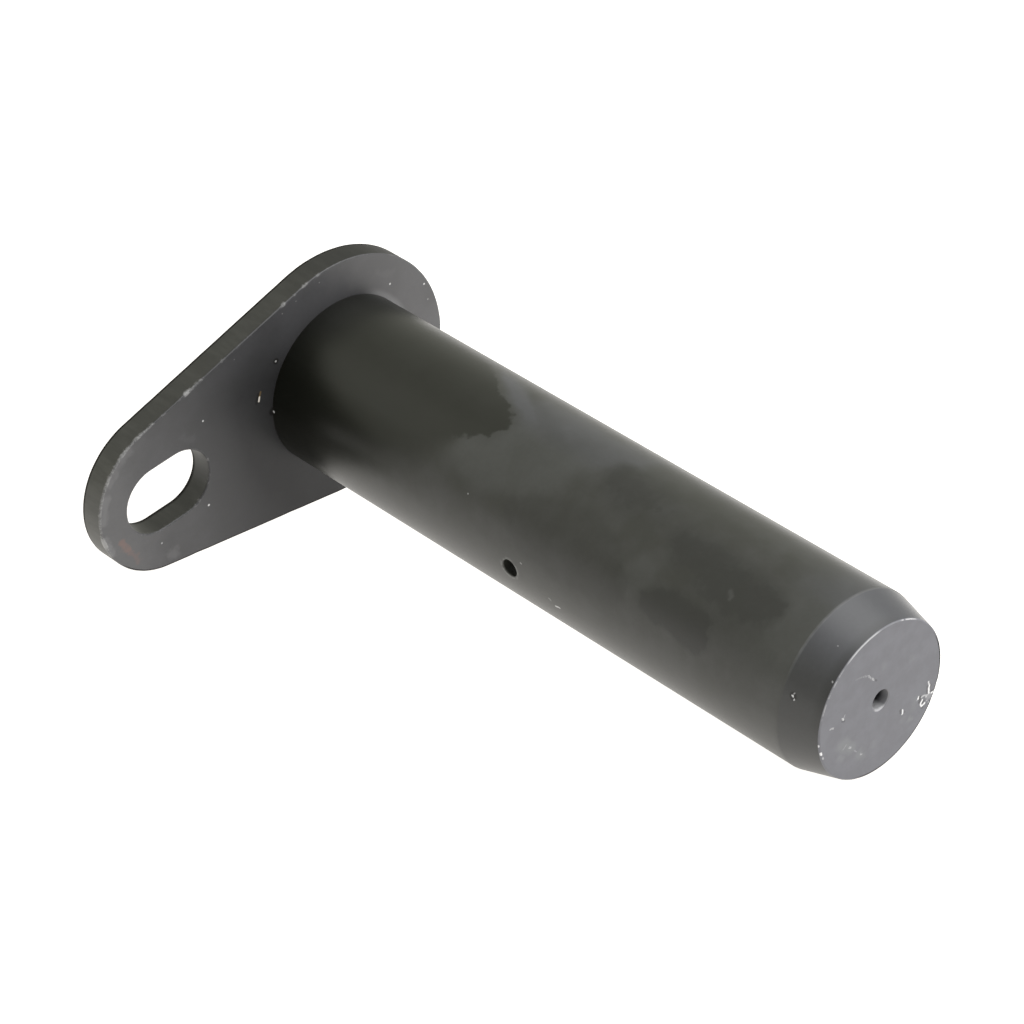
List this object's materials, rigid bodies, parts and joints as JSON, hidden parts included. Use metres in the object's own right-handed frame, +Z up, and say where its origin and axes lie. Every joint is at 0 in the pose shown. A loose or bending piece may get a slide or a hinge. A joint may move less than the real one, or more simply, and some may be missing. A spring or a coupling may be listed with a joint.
{
  "type": "pivot pin",
  "caption": "Round steel pivot pin with a tapered lead-in, a grease drilling and a welded drop-shaped flag plate with a slot for a keeper bolt.",
  "frame": {"origin": "where the shaft's axis meets the front face of the flag plate", "axes": "+Z up as the pin lies at rest, +X along the shaft towards its free end (the axis falls 3.6 degrees from level), and the flag on -Y with its lower straight edge level along Y"},
  "size_m": [0.1691, 0.097, 0.0592],
  "materials": {
    "shaft_steel": "turned steel under a dark olive grey oxide coat, satin, with oil stains and scuffs",
    "plate_steel": "cut plate steel under a dark blue grey oxide coat, satin, worn bright along its edges",
    "weld_steel": "rippled ring weld under the same dark oxide coat"
  },
  "bodies": {
    "root": {"pin_shaft": "shaft_steel", "flag_plate": "plate_steel", "weld_bead": "weld_steel"}
  },
  "joints": []
}
